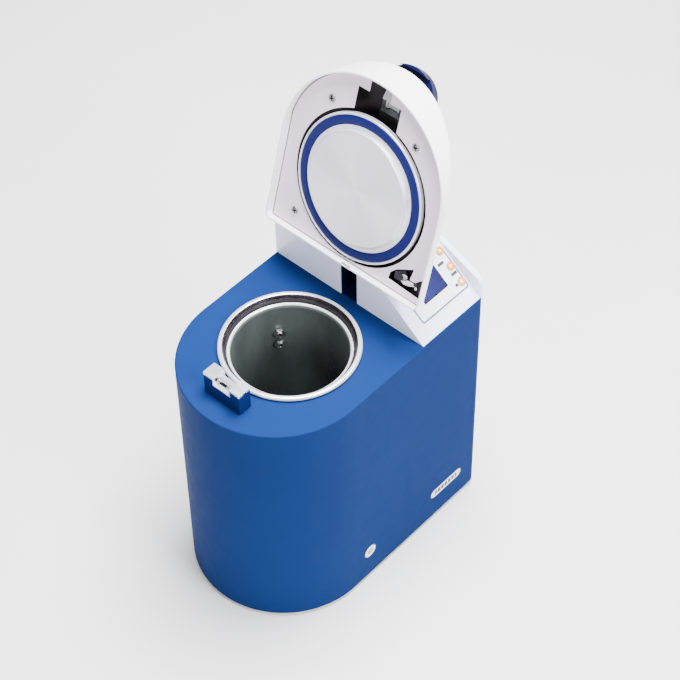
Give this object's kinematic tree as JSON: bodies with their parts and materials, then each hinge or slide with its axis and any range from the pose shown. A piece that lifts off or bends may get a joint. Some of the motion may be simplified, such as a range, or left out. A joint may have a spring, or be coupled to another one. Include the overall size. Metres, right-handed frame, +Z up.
{
  "type": "benchtop autoclave",
  "caption": "Top-loading benchtop steam steriliser: round-fronted body, deep steel chamber, hinged crowned lid with a hook latch, rear housing with a sloping control panel.",
  "frame": {"origin": "on the bench under the middle of the machine's footprint box", "axes": "+Z up, +X to the right seen from the front, the round front faces -Y and the flat back faces +Y"},
  "size_m": [0.29, 0.458, 0.804],
  "materials": {
    "body_blue": "satin blue enamel",
    "navy": "satin moulded navy",
    "housing_white": "smooth moulded off-white",
    "lid_white": "smooth moulded off-white",
    "lid_inner": "smooth pale grey",
    "lining_black": "matt heat-resistant moulding",
    "steel_bright": "polished stainless",
    "steel_brushed": "turned and brushed stainless",
    "steel_dark": "drawn stainless, dark inside",
    "steel_zinc": "zinc plated",
    "bronze": "plain bearing bronze",
    "brass": "bright brass",
    "silicone_blue": "matt silicone",
    "rubber_black": "matt rubber",
    "black_plastic": "matt moulded black",
    "grey_plastic": "matt moulded grey",
    "badge_silver": "printed silver label",
    "badge_white": "printed white label",
    "panel_film": "printed polyester film",
    "display": "dark blue display behind a clear window",
    "button_orange": "orange ring round a pale cap",
    "board_green": "solder mask",
    "fibre": "mineral fibre felt",
    "mica": "mica heater band",
    "copper": "copper tube"
  },
  "bodies": {
    "machine": {"body_shell": "body_blue", "base_plate": "steel_zinc", "feet": "rubber_black", "rear_panel": "steel_zinc", "rear_screws": "steel_zinc", "oval_badge": "badge_silver", "round_badge": "badge_white", "chamber_vessel": "steel_dark", "chamber_rim": "steel_bright", "mouth_ring": "rubber_black", "chamber_fittings": "steel_zinc", "chamber_drain": "steel_zinc", "flange_bolts": "steel_zinc", "chassis_plate": "steel_zinc", "chassis_posts": "steel_zinc", "band_heater": "mica", "insulation_jacket": "fibre", "keeper_pedestal": "navy", "keeper_cap": "steel_bright", "keeper_pin": "steel_bright", "rear_housing": "housing_white", "slot_liner": "navy", "hinge_bracket": "steel_zinc", "hinge_pin": "steel_bright", "lid_stop": "rubber_black", "panel_overlay": "panel_film", "display_window": "display", "control_board": "board_green", "power_inlet": "black_plastic", "power_switch_frame": "black_plastic", "fuse_holders": "black_plastic", "drain_valve": "brass", "drain_lock_nut": "brass", "drain_spindle": "steel_zinc", "drain_pipe": "copper", "exhaust_port": "brass", "solenoid_valve": "grey_plastic", "safety_valve": "brass", "steam_manifold": "copper", "transformer": "steel_zinc", "power_board": "board_green"},
    "lid": {"lid_cover": "lid_white", "lid_lining": "lining_black", "lid_plate": "lid_inner", "lid_screws": "steel_bright", "screw_bosses": "lining_black", "pressure_disc": "steel_brushed", "disc_gasket": "silicone_blue", "disc_stud": "steel_zinc", "lid_crossbar": "steel_zinc", "hinge_bushes": "bronze", "interlock_striker": "steel_zinc", "latch_shaft": "steel_bright"},
    "latch": {"latch_hook": "steel_bright", "latch_handle": "navy"},
    "mains_rocker": {"power_rocker": "black_plastic"},
    "drain_control": {"drain_knob": "black_plastic"},
    "start_key": {"start_button": "button_orange"},
    "program_key": {"program_button": "button_orange"},
    "stop_key": {"stop_button": "button_orange"}
  },
  "joints": [
    {"name": "lid_hinge", "type": "hinge", "parent": "machine", "child": "lid", "pos_m": [0, 0.0909, 0.4831], "axis": [1, 0, 0], "range_deg": [0, 106.8]},
    {"name": "latch_pivot", "type": "hinge", "parent": "lid", "child": "latch", "pos_m": [0, 0.17082, 0.73777], "axis": [1, 0, 0], "range_deg": [0, 26]},
    {"name": "start_press", "type": "slide", "parent": "machine", "child": "start_key", "axis": [-0.6239, 0, -0.7815], "range_m": [0, 0.0012], "stiffness_N_per_m": 400, "springref_m": -0.0005},
    {"name": "program_press", "type": "slide", "parent": "machine", "child": "program_key", "axis": [-0.6239, 0, -0.7815], "range_m": [0, 0.0012], "stiffness_N_per_m": 400, "springref_m": -0.0005},
    {"name": "stop_press", "type": "slide", "parent": "machine", "child": "stop_key", "axis": [-0.6239, 0, -0.7815], "range_m": [0, 0.0012], "stiffness_N_per_m": 400, "springref_m": -0.0005},
    {"name": "mains_rock", "type": "hinge", "parent": "machine", "child": "mains_rocker", "pos_m": [-0.0405, 0.2045, 0.078], "axis": [1, 0, 0], "range_deg": [0, 14]},
    {"name": "drain_turn", "type": "hinge", "parent": "machine", "child": "drain_control", "pos_m": [0.074, 0.2165, 0.114], "axis": [0, 1, 0], "range_deg": [0, 270]}
  ]
}
